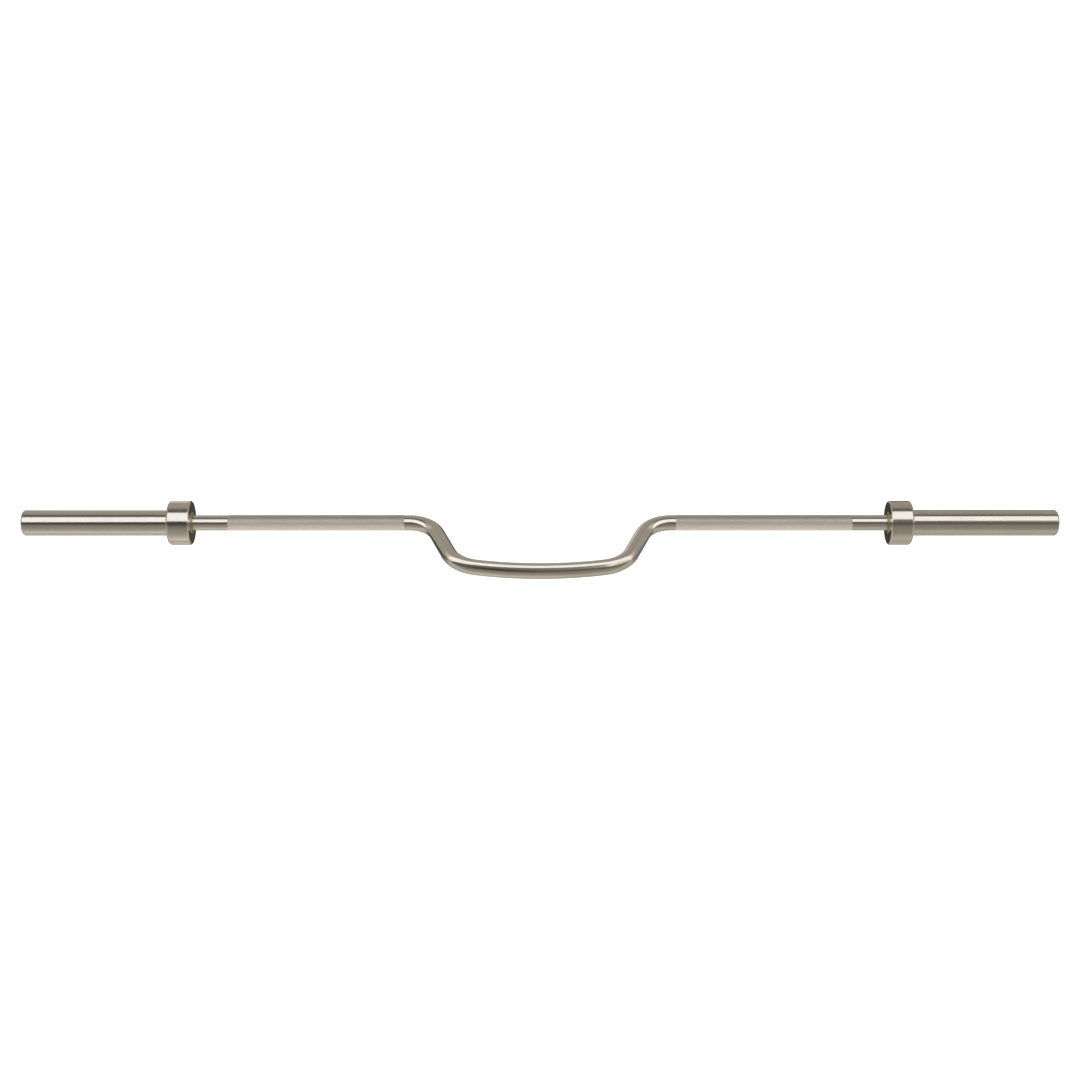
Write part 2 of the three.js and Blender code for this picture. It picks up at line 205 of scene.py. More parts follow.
class Places:
    """Where each piece of one end starts and stops, counted outwards from the bar's middle."""

    def __init__(self, scene):
        shaft, sleeve = scene.row_bar_shaft, scene.row_bar_sleeves
        self.sleeve_end = shaft.bar_length / 2
        self.collar_back = self.sleeve_end - sleeve.loadable_length
        self.collar_face = self.collar_back - sleeve.collar_width
        self.sleeve_start = self.collar_face + sleeve.collar_lip + SEAT_GAP
        self.knurl_end = self.collar_face - shaft.neck_length
        self.flange_back = self.collar_face - SEAT_GAP
        self.flange_front = self.flange_back - sleeve.flange_thickness
        self.inner_washer = self.flange_front - SEAT_GAP - INNER_WASHER_THICKNESS
        self.shoulder = self.inner_washer - SEAT_GAP
        self.inner_bushing_end = self.collar_face + INNER_BUSHING_LENGTH
        self.inner_seat_end = self.inner_bushing_end + SEAT_GAP
        self.cap_ring = self.sleeve_end - sleeve.cap_recess
        self.cap_front = self.cap_ring - SEAT_GAP
        self.cap_back = self.cap_front - sleeve.cap_thickness
        self.cap_seat = self.cap_back - SEAT_GAP
        self.journal_end = self.cap_back - CAP_TO_TIP
        self.shaft_ring = self.journal_end - TIP_TO_RING
        self.wave_washer = self.shaft_ring - SEAT_GAP - WAVE_WASHER_HEIGHT
        self.outer_washer = self.wave_washer - SEAT_GAP - OUTER_WASHER_THICKNESS
        self.outer_bushing_end = self.outer_washer - SEAT_GAP
        self.outer_bushing = self.outer_bushing_end - OUTER_BUSHING_LENGTH
        self.outer_seat = self.outer_bushing - SEAT_GAP
        self.journal = shaft.journal_diameter / 2
        self.running = self.journal + RUNNING_CLEARANCE
        self.washer_bore = self.running + SEAT_GAP
        self.seat = sleeve.seat_diameter / 2
        self.grip = shaft.grip_diameter / 2


class Camber:
    """The bent middle's centreline: arcs and straights from its lowest point outwards."""

    def __init__(self, shaft):
        self.depth = shaft.camber_depth
        bottom, leg = shaft.bottom_angle, shaft.leg_angle
        climbed = (shaft.bottom_radius * (1 - math.cos(bottom))
                   + shaft.lower_radius * (math.cos(bottom) - math.cos(leg))
                   + shaft.upper_radius * (1 - math.cos(leg)))
        straight = (self.depth - climbed) / math.sin(leg)
        # Radius, angle at the start and at the end, length, and how many rings of the mesh it takes
        self.turns = [
            (shaft.bottom_radius, 0, bottom, shaft.bottom_radius * bottom, 32),
            (shaft.lower_radius, bottom, leg, shaft.lower_radius * (leg - bottom), 26),
            (None, leg, leg, straight, 6),
            (shaft.upper_radius, leg, 0, shaft.upper_radius * leg, 30),
        ]
        collar = bpy.context.scene.row_bar_sleeves.collar_diameter / 2
        self.tilt = math.asin((collar - shaft.grip_diameter / 2) / self.depth)
        self.reach = self.stations()[-1][0]

    def stations(self):
        """Places along, rises and slopes of the centreline, from the middle to the straight grip."""
        along = rise = 0.0
        found = [(along, rise, 0.0)]
        for radius, start, end, whole, rings in self.turns:
            from_along, from_rise = along, rise
            for ring in range(1, rings + 1):
                part = ring / rings
                if radius:
                    sense = math.copysign(1, end - start)
                    turned_to = start + (end - start) * part
                    along = from_along + sense * radius * (math.sin(turned_to) - math.sin(start))
                    rise = from_rise + sense * radius * (math.cos(start) - math.cos(turned_to))
                else:
                    turned_to = start
                    along = from_along + whole * part * math.cos(start)
                    rise = from_rise + whole * part * math.sin(start)
                found.append((along, rise, turned_to))
        return found


# Mesh helpers


def rounded(corners, closed=True, steps=5):
    """Points of an outline whose corners are (along, radius, rounding), with how worn each one is.
    A rounding is the length that it takes off the two edges at its corner."""
    points = []
    for index, (along, radius, ease) in enumerate(corners):
        here = Vector((along, radius))
        at_end = not closed and index in (0, len(corners) - 1)
        if not ease or at_end:
            points.append((along, radius, 0.0))
            continue
        back = Vector(corners[index - 1][:2]) - here
        on = Vector(corners[(index + 1) % len(corners)][:2]) - here
        ease = min(ease, 0.48 * back.length, 0.48 * on.length)
        start, end = here + back.normalized() * ease, here + on.normalized() * ease
        for step in range(steps + 1):
            part = step / steps
            spot = start * (1 - part) ** 2 + here * 2 * part * (1 - part) + end * part ** 2
            points.append((spot.x, spot.y, 1 - abs(2 * part - 1)))
    return points


def bridge(mesh, first, second):
    """Faces between two rings of a turned form, either of which may be a single point."""
    count = max(len(first), len(second))
    for side in range(count):
        after = (side + 1) % count
        if len(first) == 1:
            mesh.faces.new((first[0], second[after], second[side]))
        elif len(second) == 1:
            mesh.faces.new((first[side], first[after], second[0]))
        else:
            mesh.faces.new((first[side], first[after], second[after], second[side]))


def turned(name, outline, sides, closed=True):
    """A form turned about the bar's axis from (along, radius, wear) points."""
    mesh = bmesh.new()
    worn = mesh.verts.layers.float.new("edge")
    rings = []
    for along, radius, wear in outline:
        spokes = sides if radius > 1e-7 else 1
        ring = []
        for side in range(spokes):
            turn = 2 * math.pi * (side + 0.5) / sides
            ring.append(mesh.verts.new((along, radius * math.cos(turn), radius * math.sin(turn))))
            ring[-1][worn] = wear
        rings.append(ring)
    following = rings[1:] + (rings[:1] if closed else [])
    for first, second in zip(rings, following):
        bridge(mesh, first, second)
    return finished(name, mesh)


def finished(name, mesh, smooth=True):
    """The mesh as an object on the bar's axis."""
    bmesh.ops.recalc_face_normals(mesh, faces=mesh.faces)
    data = bpy.data.meshes.new(name)
    mesh.to_mesh(data)
    mesh.free()
    data.shade_smooth() if smooth else data.shade_flat()
    piece = bpy.data.objects.new(name, data)
    bpy.context.scene.collection.objects.link(piece)
    piece.location = AXIS
    if smooth:
        weighted = piece.modifiers.new("Even shading", "WEIGHTED_NORMAL")
        weighted.keep_sharp = True
        weighted.weight = 100
    return piece


def fit(piece, side, node, body, material):
    """Turns a right-hand piece to its own side and seats it on the frame."""
    if side == "left":
        piece.rotation_euler.z = math.pi
    piece.data.materials.append(material)
    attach(piece, body)
    if node:
        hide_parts(node)


def turned_pair(kind, outline, sides, on_shaft, material, closed=True):
    """A turned piece for each end of the bar, in place of the frame's own of that kind."""
    for side in SIDES:
        node = f"{side}_{kind}"
        body = "shaft" if on_shaft else side + "_sleeve"
        fit(turned(node + "_smooth", outline, sides, closed), side, node, body, material)


def washer_outline(start, end, bore, rim, ease):
    return rounded([(start, bore, ease), (end, bore, ease), (end, rim, ease), (start, rim, ease)])


# Finishes


def put(tree, value, socket):
    """Links a socket to an input, or sets the input to a number, a vector or an (r, g, b) colour."""
    if isinstance(value, bpy.types.NodeSocket):
        tree.links.new(value, socket)
    elif socket.type == "RGBA":
        socket.default_value = (*value, 1)
    else:
        socket.default_value = value


def put_in_order(tree, node, *values):
    for socket, value in zip(node.inputs, values):
        put(tree, value, socket)


def feed(tree, node, **inputs):
    """Puts values or sockets into a node's inputs, named with _ for each space."""
    for key, value in inputs.items():
        put(tree, value, node.inputs[key.replace("_", " ")])


def add(tree, kind, **settings):
    """A new shader node. What isn't a setting of the node itself goes into its inputs."""
    node = tree.nodes.new("ShaderNode" + kind)
    for key, value in settings.items():
        if hasattr(node, key):
            setattr(node, key, value)
        else:
            feed(tree, node, **{key: value})
    return node


def maths(tree, operation, *values, clamp=False):
    """The result of a Math node on sockets or numbers."""
    node = add(tree, "Math", operation=operation, use_clamp=clamp)
    put_in_order(tree, node, *values)
    return node.outputs[0]


def ramp(tree, source, low, high, bottom=0.0, top=1.0):
    """The source's range from low to high, drawn out from bottom to top."""
    node = add(tree, "MapRange", clamp=True, Value=source, From_Min=low, From_Max=high,
               To_Min=bottom, To_Max=top)
    return node.outputs["Result"]


def blend(tree, factor, first, second):
    """A colour that runs from first to second as factor, a socket, rises."""
    node = add(tree, "Mix", data_type="RGBA")
    for index, value in ((0, factor), (6, first), (7, second)):
        put(tree, value, node.inputs[index])
    return node.outputs[2]


def toned(rgb, by):
    return tuple(min(1.0, channel * by) for channel in rgb)


def object_place(tree):
    return add(tree, "TexCoord").outputs["Object"]


def new_group(name, inputs, outputs):
    """An empty node group. Inputs are {name: default}, outputs are names."""
    tree = bpy.data.node_groups.new(name, "ShaderNodeTree")
    for key, default in inputs.items():
        socket = tree.interface.new_socket(key, in_out="INPUT", socket_type="NodeSocketFloat")
        socket.default_value = default
    for key in outputs:
        tree.interface.new_socket(key, in_out="OUTPUT", socket_type="NodeSocketFloat")
    return tree, tree.nodes.new("NodeGroupInput").outputs, tree.nodes.new("NodeGroupOutput")


def use_group(tree, group, **settings):
    return add(tree, "Group", node_tree=group, **settings).outputs


def turning_marks():
    """Fine marks round the bar that a lathe and a polishing belt leave."""
    name = "Turning marks"
    if name in bpy.data.node_groups:
        return bpy.data.node_groups[name]
    tree, given, result = new_group(name, {"Lines per metre": 1400.0}, ["Height", "Mask"])
    x, y, z = add(tree, "SeparateXYZ", Vector=object_place(tree)).outputs
    radius = maths(tree, "SQRT", maths(tree, "ADD", maths(tree, "MULTIPLY", y, y),
                                       maths(tree, "MULTIPLY", z, z)))
    across = add(tree, "CombineXYZ", X=x, Y=radius).outputs[0]
    noise = add(tree, "TexNoise", noise_dimensions="2D", Vector=across,
                Scale=given["Lines per metre"], Detail=2.5, Roughness=0.6).outputs[0]
    feed(tree, result, Height=noise, Mask=ramp(tree, noise, 0.52, 0.70))
    return tree


def handling_marks():
    """Broad soft patches of wiped oil and fingers, and sparse hairline scratches."""
    name = "Handling marks"
    if name in bpy.data.node_groups:
        return bpy.data.node_groups[name]
    tree, given, result = new_group(
        name, {"Patch scale": 22.0, "Scratch scale": 260.0}, ["Patches", "Scratches"])
    where = object_place(tree)
    patches = add(tree, "TexNoise", Vector=where, Scale=given["Patch scale"],
                  Detail=3.0, Roughness=0.55, Distortion=0.4).outputs[0]
    drawn_out = add(tree, "Mapping", Vector=where, Rotation=(0.3, 0.5, 0.2),
                    Scale=(1.0, 0.05, 0.09)).outputs[0]
    scratches = add(tree, "TexNoise", Vector=drawn_out, Scale=given["Scratch scale"],
                    Detail=1.0, Roughness=0.4, Distortion=0.15).outputs[0]
    feed(tree, result, Patches=ramp(tree, patches, 0.38, 0.68),
         Scratches=ramp(tree, scratches, 0.68, 0.86))
    return tree


def edge_wear():
    """Broken-up wear along the rounded edges, which the meshes mark as they are made."""
    name = "Edge wear"
    if name in bpy.data.node_groups:
        return bpy.data.node_groups[name]
    tree, given, result = new_group(name, {"Breakup scale": 180.0}, ["Mask"])
    edge = add(tree, "Attribute", attribute_name="edge").outputs["Fac"]
    noise = add(tree, "TexNoise", Vector=object_place(tree), Scale=given["Breakup scale"],
                Detail=3.0, Roughness=0.6).outputs[0]
    broken = ramp(tree, noise, 0.35, 0.62, 0.25, 1.0)
    feed(tree, result, Mask=maths(tree, "MULTIPLY", edge, broken))
    return tree


def fine_grain():
    """Fine even grain, as on cut teeth and moulded rubber."""
    name = "Fine grain"
    if name in bpy.data.node_groups:
        return bpy.data.node_groups[name]
    tree, given, result = new_group(
        name, {"Scale": 3000.0, "Detail": 3.0, "Roughness": 0.5}, ["Height"])
    noise = add(tree, "TexNoise", Vector=object_place(tree), Scale=given["Scale"],
                Detail=given["Detail"], Roughness=given["Roughness"])
    feed(tree, result, Height=noise.outputs[0])
    return tree


def new_material(name, kind="BsdfPrincipled", **inputs):
    """A material with one shader, whose inputs take the values given."""
    material = bpy.data.materials.new(name)
    material.use_nodes = True
    tree = material.node_tree
    tree.nodes.clear()
    shader = add(tree, kind, **inputs)
    add(tree, "OutputMaterial", Surface=shader.outputs[0])
    return material, tree, shader


def relief(tree, shader, height, distance):
    bump = add(tree, "Bump", Strength=1.0, Distance=distance, Height=height)
    feed(tree, shader, Normal=bump.outputs[0])


def machined_metal(name, rgb, roughness, lines, line_depth, patchiness, worn_tone=1.18):
    """Turned metal: tone and gloss broken up by turning marks, handling and worn edges."""
    if name in bpy.data.materials:
        return bpy.data.materials[name]
    material, tree, shader = new_material(name, Metallic=1.0)
    marks = use_group(tree, turning_marks(), Lines_per_metre=lines)
    hands = use_group(tree, handling_marks())
    wear = use_group(tree, edge_wear())
    tone = blend(tree, hands["Patches"], toned(rgb, 1.02), toned(rgb, 0.965))
    tone = blend(tree, maths(tree, "MULTIPLY", marks["Mask"], 0.35), tone, toned(rgb, 0.93))
    tone = blend(tree, wear["Mask"], tone, toned(rgb, worn_tone))
    matt = ramp(tree, hands["Patches"], 0, 1, roughness, roughness * (1 + patchiness))
    matt = maths(tree, "ADD", matt, maths(tree, "MULTIPLY", marks["Mask"], roughness * 0.25))
    matt = maths(tree, "ADD", matt, maths(tree, "MULTIPLY", hands["Scratches"], 0.06), clamp=True)
    feed(tree, shader, Base_Color=tone, Roughness=matt)
    height = maths(tree, "SUBTRACT", marks["Height"],
                   maths(tree, "MULTIPLY", hands["Scratches"], 0.1))
    relief(tree, shader, height, line_depth)
    return material


def polished_steel():
    finishes = bpy.context.scene.row_bar_finishes
    return machined_metal("Polished steel", finishes.steel, finishes.steel_roughness,
                          lines=900, line_depth=0.0012 * MM, patchiness=0.15)


def satin_steel():
    return machined_metal("Satin steel", bpy.context.scene.row_bar_finishes.satin, roughness=0.36,
                          lines=1500, line_depth=0.006 * MM, patchiness=0.2)


def spring_steel():
    return machined_metal(
        "Oiled spring steel", bpy.context.scene.row_bar_finishes.spring, roughness=0.42,
        lines=2200, line_depth=0.004 * MM, patchiness=0.3, worn_tone=1.9)


def bushing_bronze():
    return machined_metal(
        "Bushing bronze", bpy.context.scene.row_bar_finishes.bronze, roughness=0.30,
        lines=1300, line_depth=0.006 * MM, patchiness=0.4)


def knurled_steel():
    """The same steel cut into teeth: matt blasted-looking slopes and rubbed, brighter tops."""
    name = "Knurled steel"
    if name in bpy.data.materials:
        return bpy.data.materials[name]
    finishes = bpy.context.scene.row_bar_finishes
    material, tree, shader = new_material(name, Metallic=1.0)
    hands = use_group(tree, handling_marks(), Patch_scale=35.0)
    tooth = add(tree, "Attribute", attribute_name="tooth").outputs["Fac"]
    rubbed = ramp(tree, tooth, 0.75, 0.97)
    tone = blend(tree, rubbed, finishes.knurl_slopes, finishes.steel)
    tone = blend(tree, maths(tree, "MULTIPLY", hands["Patches"], 0.3), tone,
                 toned(finishes.steel, 1.05))
    metallic = ramp(tree, rubbed, 0, 1, 0.04, 0.8)
    matt = ramp(tree, rubbed, 0, 1, 0.7, finishes.knurl_roughness)
    matt = maths(tree, "ADD", matt, maths(tree, "MULTIPLY", hands["Patches"], 0.06), clamp=True)
    feed(tree, shader, Base_Color=tone, Metallic=metallic, Roughness=matt)
    grain = use_group(tree, fine_grain(), Scale=5200.0, Detail=2.0, Roughness=0.6)
    relief(tree, shader, grain["Height"], 0.006 * MM)
    return material


def seal_rubber():
    name = "Seal rubber"
    if name in bpy.data.materials:
        return bpy.data.materials[name]
    rgb = bpy.context.scene.row_bar_finishes.rubber
    material, tree, shader = new_material(name)
    hands = use_group(tree, handling_marks(), Patch_scale=90.0)
    feed(tree, shader, Base_Color=blend(tree, hands["Patches"], rgb, toned(rgb, 1.6)),
         Roughness=ramp(tree, hands["Patches"], 0, 1, 0.55, 0.7))
    grain = use_group(tree, fine_grain(), Scale=3000.0, Detail=3.0)
    relief(tree, shader, grain["Height"], 0.02 * MM)
    return material


# Pieces


class BuildPiece(bpy.types.Operator):
    """Shared settings of the operators that build the bar's pieces."""

    bl_options = {"REGISTER", "UNDO"}


class ROWBAR_OT_shaft(BuildPiece):
    """Build the bent shaft, with its necks, journals and ring grooves"""

    bl_idname = "row_bar.shaft"
    bl_label = "Bent shaft"

    sides = 96

    def execute(self, context):
        shaft = context.scene.row_bar_shaft
        places = Places(context.scene)
        camber = Camber(shaft)
        mesh = bmesh.new()
        worn = mesh.verts.layers.float.new("edge")
        lean = Vector((0, math.cos(camber.tilt), math.sin(camber.tilt)))
        flat = Vector((0, -math.sin(camber.tilt), math.cos(camber.tilt)))
        half = [(along, rise, slope, places.grip, 0.0) for along, rise, slope in camber.stations()]
        half += [(along, camber.depth, 0.0, radius, wear)
                 for along, radius, wear in self.straight_end(shaft, places, camber)]
        mirrored = [(-along, rise, -slope, radius, wear)
                    for along, rise, slope, radius, wear in reversed(half[1:])]
        rings = []
        for along, rise, slope, radius, wear in mirrored + half:
            centre = Vector((along, 0, 0)) - lean * (camber.depth - rise)
            inward = lean * math.cos(slope) - Vector((math.sin(slope), 0, 0))
            spokes = self.sides if radius > 1e-7 else 1
            ring = []
            for side in range(spokes):
                turn = 2 * math.pi * side / self.sides
                spot = centre + (inward * math.cos(turn) + flat * math.sin(turn)) * radius
                ring.append(mesh.verts.new(spot))
                ring[-1][worn] = wear
            rings.append(ring)
        for first, second in zip(rings, rings[1:]):
            bridge(mesh, first, second)
        piece = finished("shaft_smooth", mesh)
        fit(piece, "right", "shaft", "shaft", polished_steel())
        return {"FINISHED"}

    @staticmethod
    def straight_end(shaft, places, camber):
        """Outline of the straight end, from the bend to the tip."""
        grip, journal = places.grip, places.journal
        knurl_backing = 0.25 * MM
        under_knurl = grip - shaft.knurl_depth - knurl_backing
        knurl_start = camber.reach + shaft.bend_to_knurl
        groove = journal - SHAFT_GROOVE_DEPTH
        groove_start = places.shaft_ring - GROOVE_PLAY / 2
        groove_end = places.shaft_ring + SHAFT_RING_THICKNESS + GROOVE_PLAY / 2
        chamfer = 1.5 * MM
        return rounded([
            (camber.reach + 1 * MM, grip, 0),
            (knurl_start, grip, 0.12 * MM),
            (knurl_start, under_knurl, 0.05 * MM),
            (places.knurl_end, under_knurl, 0.05 * MM),
            (places.knurl_end, grip, 0.12 * MM),
            (places.shoulder, grip, 0.4 * MM),
            (places.shoulder, journal, 0.4 * MM),
            (groove_start, journal, 0.1 * MM),
            (groove_start, groove, 0.1 * MM),
            (groove_end, groove, 0.1 * MM),
            (groove_end, journal, 0.1 * MM),
            (places.journal_end - chamfer, journal, 0.4 * MM),
            (places.journal_end, journal - chamfer, 0.4 * MM),
            (places.journal_end, 0, 0),
        ], closed=False)


class ROWBAR_OT_grips(BuildPiece):
    """Build the two knurled grips, tooth by tooth"""

    bl_idname = "row_bar.grips"
    bl_label = "Knurled grips"

    flat_top = 0.5

    def execute(self, context):
        shaft = context.scene.row_bar_shaft
        places = Places(context.scene)
        start = Camber(shaft).reach + shaft.bend_to_knurl
        for side in SIDES:
            piece = self.knurl(side + "_knurl", shaft, start, places.knurl_end, places.grip)
            fit(piece, side, "shaft", "shaft", knurled_steel())
        return {"FINISHED"}

    def knurl(self, name, shaft, start, end, grip):
        """Staggered rows of flat-topped diamond teeth on a thin closed sleeve."""
        around = 2 * shaft.teeth_round
        columns = 2 * round((end - start) / shaft.tooth_length)
        step = (end - start) / columns
        valley, top = grip - shaft.knurl_depth, grip + shaft.knurl_height
        bore = valley - 0.3 * MM
        spots, heights, faces = [], [], []

        def spot(column, row, radius, height):
            turn = 2 * math.pi * row / around
            spots.append((start + column * step, radius * math.cos(turn), radius * math.sin(turn)))
            heights.append(height)
            return len(spots) - 1

        valleys = {(column, row): spot(column, row, valley, 0.0)
                   for column in range(columns + 1) for row in range(around)
                   if (column + row) % 2 == 0}
        for column in range(columns + 1):
            for row in range(around):
                if (column + row) % 2 == 0:
                    continue
                under, over = valleys[column, (row - 1) % around], valleys[column, (row + 1) % around]
                if column == 0:
                    faces.append((under, over, valleys[1, row]))
                    continue
                if column == columns:
                    faces.append((under, valleys[column - 1, row], over))
                    continue
                corners = (valleys[column - 1, row], over, valleys[column + 1, row], under)
                reach = self.flat_top
                crown = (spot(column - reach, row, top, 1.0), spot(column, row + reach, top, 1.0),
                         spot(column + reach, row, top, 1.0), spot(column, row - reach, top, 1.0))
                faces.append(crown)
                for corner in range(4):
                    after = (corner + 1) % 4
                    faces.append((corners[corner], corners[after], crown[after], crown[corner]))
        ends = [[(valleys[column, row], spot(column, row, bore, 0.0))
                 for row in range(0, around, 2)] for column in (0, columns)]
        count = len(ends[0])
        for index in range(count):
            after = (index + 1) % count
            (first, first_in), (next_first, next_first_in) = ends[0][index], ends[0][after]
            (last, last_in), (next_last, next_last_in) = ends[1][index], ends[1][after]
            faces.append((first, first_in, next_first_in, next_first))
            faces.append((last, next_last, next_last_in, last_in))
            faces.append((first_in, last_in, next_last_in, next_first_in))
        data = bpy.data.meshes.new(name)
        data.from_pydata(spots, [], faces)
        tooth = data.attributes.new("tooth", "FLOAT", "POINT")
        tooth.data.foreach_set("value", heights)
        mesh = bmesh.new()
        mesh.from_mesh(data)
        bpy.data.meshes.remove(data)
        return finished(name, mesh, smooth=False)


class ROWBAR_OT_sleeve_tubes(BuildPiece):
    """Build the two sleeve tubes that carry the plates"""

    bl_idname = "row_bar.sleeve_tubes"
    bl_label = "Sleeve tubes"

    def execute(self, context):
        sleeve = context.scene.row_bar_sleeves
        places = Places(context.scene)
        outer, core = sleeve.sleeve_diameter / 2, sleeve.core_bore / 2
        cap_seat = sleeve.cap_seat / 2
        groove = cap_seat + CAP_GROOVE_DEPTH
        groove_start = places.cap_ring - GROOVE_PLAY / 2
        groove_end = places.cap_ring + CAP_RING_THICKNESS + GROOVE_PLAY / 2
        fine, mouth_chamfer = 0.15 * MM, 0.7 * MM
        corners = [
            (places.sleeve_start, places.seat, fine),
            (places.inner_seat_end, places.seat, fine),
            (places.inner_seat_end, core, fine),
            (places.outer_seat, core, fine),
            (places.outer_seat, places.seat, fine),
            (places.cap_seat, places.seat, fine),
            (places.cap_seat, cap_seat, fine),
            (groove_start, cap_seat, fine),
            (groove_start, groove, fine),
            (groove_end, groove, fine),
            (groove_end, cap_seat, fine),
            (places.sleeve_end - mouth_chamfer, cap_seat, fine),
            (places.sleeve_end, cap_seat + mouth_chamfer, fine),
            (places.sleeve_end, outer - sleeve.sleeve_chamfer, 0.5 * MM),
            (places.sleeve_end - sleeve.sleeve_chamfer, outer, 0.8 * MM),
            (places.sleeve_start, outer, fine),
        ]
        turned_pair(
            "sleeve_tube", rounded(corners), 144, False, polished_steel())
        return {"FINISHED"}


class ROWBAR_OT_collars(BuildPiece):
    """Build the two collars that stop the plates"""

    bl_idname = "row_bar.collars"
    bl_label = "Collars"

    def execute(self, context):
        sleeve = context.scene.row_bar_sleeves
        places = Places(context.scene)
        outer = sleeve.collar_diameter / 2
        back_chamfer, face_chamfer = sleeve.collar_back_chamfer, sleeve.collar_face_chamfer
        bore = sleeve.sleeve_diameter / 2 + SEAT_GAP
        toe_step = 0.6 * MM
        toe = bore + toe_step
        fillet = sleeve.root_fillet
        back, face = places.collar_back, places.collar_face
        root, steps = [], 12
        for step in range(steps + 1):
            turn = math.pi * (1.5 - 0.5 * step / steps)
            root.append((back + fillet + fillet * math.cos(turn),
                         toe + fillet + fillet * math.sin(turn), 0))
        corners = [
            (face, places.seat, 0.2 * MM),
            (face + sleeve.collar_lip, places.seat, 0.2 * MM),
            (face + sleeve.collar_lip, bore, 0.1 * MM),
            (back + fillet, bore, 0),
            *root,
            (back, outer - back_chamfer, 0.8 * MM),
            (back - back_chamfer, outer, 0.8 * MM),
            (face + face_chamfer, outer, 0.5 * MM),
            (face, outer - face_chamfer, 0.5 * MM),
        ]
        turned_pair("collar", rounded(corners), 192, False, polished_steel())
        return {"FINISHED"}


class ROWBAR_OT_bushings(BuildPiece):
    """Build the flanged and the plain bronze bushings"""

    bl_idname = "row_bar.bushings"
    bl_label = "Bushings"

    def execute(self, context):
        places = Places(context.scene)
        body = places.seat - SEAT_GAP
        sleeve = context.scene.row_bar_sleeves
        flange = sleeve.flange_diameter / 2
        rim = sleeve.flange_thickness / 3
        fine = 0.15 * MM
        flanged = rounded([
            (places.flange_front, places.running, 0.3 * MM),
            (places.inner_bushing_end, places.running, fine),
            (places.inner_bushing_end, body, fine),
            (places.flange_back, body, fine),
            (places.flange_back, flange, fine),
            (places.flange_front + rim, flange, fine),
            (places.flange_front, flange - rim, fine),
        ])
        plain = washer_outline(
            places.outer_bushing, places.outer_bushing_end, places.running, body, 0.3 * MM)
        turned_pair("inner_bushing", flanged, 96, False, bushing_bronze())
        turned_pair("outer_bushing", plain, 96, False, bushing_bronze())
        return {"FINISHED"}


class ROWBAR_OT_washers(BuildPiece):
    """Build the thrust washers and the wave washers"""

    bl_idname = "row_bar.washers"
    bl_label = "Washers"

    def execute(self, context):
        places = Places(context.scene)
        bore, ease = places.washer_bore, 0.12 * MM
        flat = {
            "inner_thrust_washer": (places.inner_washer, INNER_WASHER_THICKNESS,
                                    context.scene.row_bar_sleeves.thrust_washer / 2),
            "outer_thrust_washer":
                (places.outer_washer, OUTER_WASHER_THICKNESS, OUTER_WASHER_RADIUS),
        }
        for kind, (start, thickness, rim) in flat.items():
            outline = washer_outline(start, start + thickness, bore, rim, ease)
            turned_pair(kind, outline, 96, True, satin_steel())
        start = places.wave_washer
        wavy = washer_outline(
            start, start + WAVE_WASHER_THICKNESS, bore, WAVE_WASHER_RADIUS, ease)
        waves, swing = 3, (WAVE_WASHER_HEIGHT - WAVE_WASHER_THICKNESS) / 2
        for side in SIDES:
            node = side + "_wave_washer"
            piece = turned(node + "_smooth", wavy, 96)
            for vertex in piece.data.vertices:
                turn = math.atan2(vertex.co.z, vertex.co.y)
                vertex.co.x += swing * (1 + math.cos(waves * turn))
            fit(piece, side, node, "shaft", spring_steel())
        return {"FINISHED"}


